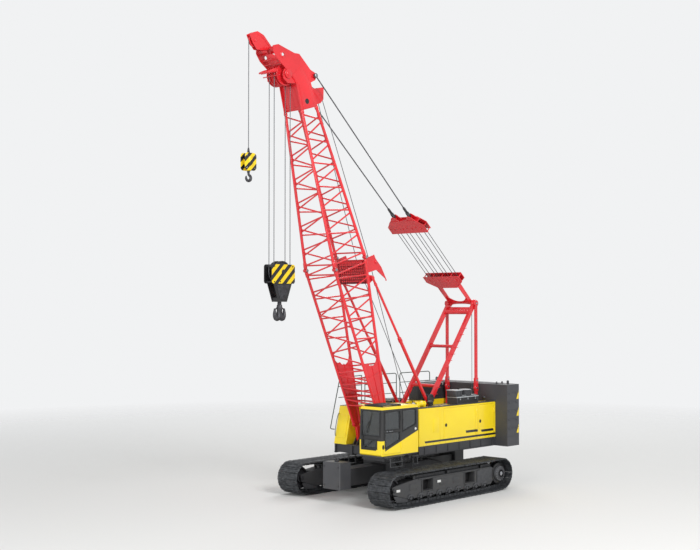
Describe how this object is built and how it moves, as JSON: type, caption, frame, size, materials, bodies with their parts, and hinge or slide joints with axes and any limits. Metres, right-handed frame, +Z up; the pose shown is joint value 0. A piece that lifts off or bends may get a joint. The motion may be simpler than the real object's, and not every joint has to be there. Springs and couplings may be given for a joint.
{
  "type": "crawler crane with lattice boom",
  "caption": "Tracked crane with slewing house, side cab, lattice boom on an A-frame with suspension ropes, backstops, and main and auxiliary hook blocks.",
  "frame": {"origin": "on the slewing axis at ground level", "axes": "+X forward, +Y to the machine's left, +Z up"},
  "size_m": [13.6286, 5.8, 17.0402],
  "materials": {
    "red_enamel": "gloss",
    "yellow_enamel": "gloss",
    "grey_enamel": "satin",
    "weight_grey": "satin",
    "track_steel": "matte",
    "dark_steel": "satin",
    "striped_block": "gloss",
    "wire_rope": "satin",
    "rail_steel": "satin",
    "cab_glass": "gloss",
    "seat_vinyl": "matte"
  },
  "bodies": {
    "undercarriage": {"carbody": "grey_enamel", "carbody_weights": "weight_grey", "slew_ring": "grey_enamel", "track_frame_left": "grey_enamel", "track_frame_right": "grey_enamel", "track_left": "track_steel", "track_right": "track_steel", "sprockets": "track_steel", "idlers": "track_steel", "track_rollers": "track_steel", "carrier_rollers": "track_steel", "final_drives": "dark_steel"},
    "upperworks": {"deck": "grey_enamel", "left_house": "yellow_enamel", "right_house": "yellow_enamel", "engine": "dark_steel", "roof_units": "weight_grey", "winch_drums": "dark_steel", "winch_frames": "dark_steel", "cab": "yellow_enamel", "cab_glass": "cab_glass", "operator_seat": "seat_vinyl", "control_consoles": "seat_vinyl", "counterweight_base": "weight_grey", "counterweight_slabs": "weight_grey", "gantry_legs": "red_enamel", "gantry_links": "red_enamel", "handrails": "rail_steel"},
    "boom": {"boom_foot": "red_enamel", "base_chords": "red_enamel", "base_lacings": "red_enamel", "top_chords": "red_enamel", "top_lacings": "red_enamel", "boom_knuckles": "red_enamel", "boom_side_plates": "red_enamel", "rope_arm": "red_enamel", "head_frame": "red_enamel", "head_sheaves": "red_enamel", "tip_arm": "red_enamel"},
    "hoist_block": {"gantry_block": "red_enamel", "gantry_sheaves": "dark_steel"},
    "bridle": {"bridle": "red_enamel", "bridle_sheaves": "dark_steel", "pendants": "wire_rope"},
    "backstop_barrels": {"backstop_barrels": "red_enamel"},
    "backstop_rods": {"backstop_rods": "red_enamel"},
    "main_block": {"main_block": "striped_block", "main_block_sheaves": "dark_steel", "main_falls": "wire_rope"},
    "main_hook": {"main_hook": "dark_steel"},
    "aux_block": {"aux_block": "striped_block", "aux_fall": "wire_rope"},
    "aux_hook": {"aux_hook": "dark_steel"},
    "cab_door": {"cab_door": "yellow_enamel", "cab_door_glass": "cab_glass"},
    "left_door_middle": {"left_door_middle": "yellow_enamel"},
    "left_door_rear": {"left_door_rear": "yellow_enamel"},
    "right_door_middle": {"right_door_middle": "yellow_enamel"},
    "right_door_rear": {"right_door_rear": "yellow_enamel"}
  },
  "joints": [
    {"name": "slew", "type": "hinge", "parent": "undercarriage", "child": "upperworks", "pos_m": [0, 0, 1.45], "axis": [0, 0, 1], "continuous": true},
    {"name": "luff", "type": "hinge", "parent": "upperworks", "child": "boom", "pos_m": [1.36, 0, 2.16], "axis": [0, -1, 0], "range_deg": [-39, 7]},
    {"name": "hoist_block_swing", "type": "hinge", "parent": "upperworks", "child": "hoist_block", "pos_m": [-4.17, 0, 7.47], "axis": [0, -1, 0], "range_deg": [-32.61, 6.26]},
    {"name": "bridle_travel", "type": "slide", "parent": "hoist_block", "child": "bridle", "axis": [0.7449, 0, 0.6671], "range_m": [-0.8828, 4.8269]},
    {"name": "backstop_swing", "type": "hinge", "parent": "upperworks", "child": "backstop_barrels", "pos_m": [-1.6, 0, 2.48], "axis": [0, -1, 0], "range_deg": [-29.8, 5.76]},
    {"name": "backstop_stroke", "type": "slide", "parent": "backstop_barrels", "child": "backstop_rods", "axis": [0.5508, 0, 0.8346], "range_m": [-0.2865, 1.5047]},
    {"name": "main_block_hang", "type": "hinge", "parent": "boom", "child": "main_block", "pos_m": [6.39438, 0, 15.64917], "axis": [0, -1, 0], "range_deg": [-7.5, 39.5]},
    {"name": "aux_block_hang", "type": "hinge", "parent": "boom", "child": "aux_block", "pos_m": [7.66952, 0, 16.69245], "axis": [0, -1, 0], "range_deg": [-7.5, 39.5]},
    {"name": "main_hook_swivel", "type": "hinge", "parent": "main_block", "child": "main_hook", "pos_m": [6.39438, 0, 7.125], "axis": [0, 0, 1], "continuous": true},
    {"name": "aux_hook_swivel", "type": "hinge", "parent": "aux_block", "child": "aux_hook", "pos_m": [7.88882, 0, 11.83], "axis": [0, 0, 1], "continuous": true},
    {"name": "cab_door_hinge", "type": "hinge", "parent": "upperworks", "child": "cab_door", "pos_m": [1.99, 1.953, 2.7], "axis": [0, 0, 1], "range_deg": [0, 100]},
    {"name": "left_door_middle_hinge", "type": "hinge", "parent": "upperworks", "child": "left_door_middle", "pos_m": [-3.06, 1.618, 2.7], "axis": [0, 0, 1], "range_deg": [0, 100]},
    {"name": "left_door_rear_hinge", "type": "hinge", "parent": "upperworks", "child": "left_door_rear", "pos_m": [-4.27, 1.618, 2.7], "axis": [0, 0, 1], "range_deg": [0, 90]},
    {"name": "right_door_middle_hinge", "type": "hinge", "parent": "upperworks", "child": "right_door_middle", "pos_m": [-1.65, -1.618, 2.7], "axis": [0, 0, -1], "range_deg": [0, 100]},
    {"name": "right_door_rear_hinge", "type": "hinge", "parent": "upperworks", "child": "right_door_rear", "pos_m": [-3.9, -1.618, 2.7], "axis": [0, 0, -1], "range_deg": [0, 90]}
  ],
  "couplings": [
    {"joint": "hoist_block_swing", "follows": "luff", "ratio": 0.82337},
    {"joint": "bridle_travel", "follows": "luff", "m_per_rad": -7.0619},
    {"joint": "backstop_swing", "follows": "luff", "ratio": 0.75132},
    {"joint": "backstop_stroke", "follows": "luff", "m_per_rad": -2.1812},
    {"joint": "main_block_hang", "follows": "luff", "ratio": -1},
    {"joint": "aux_block_hang", "follows": "luff", "ratio": -1}
  ]
}
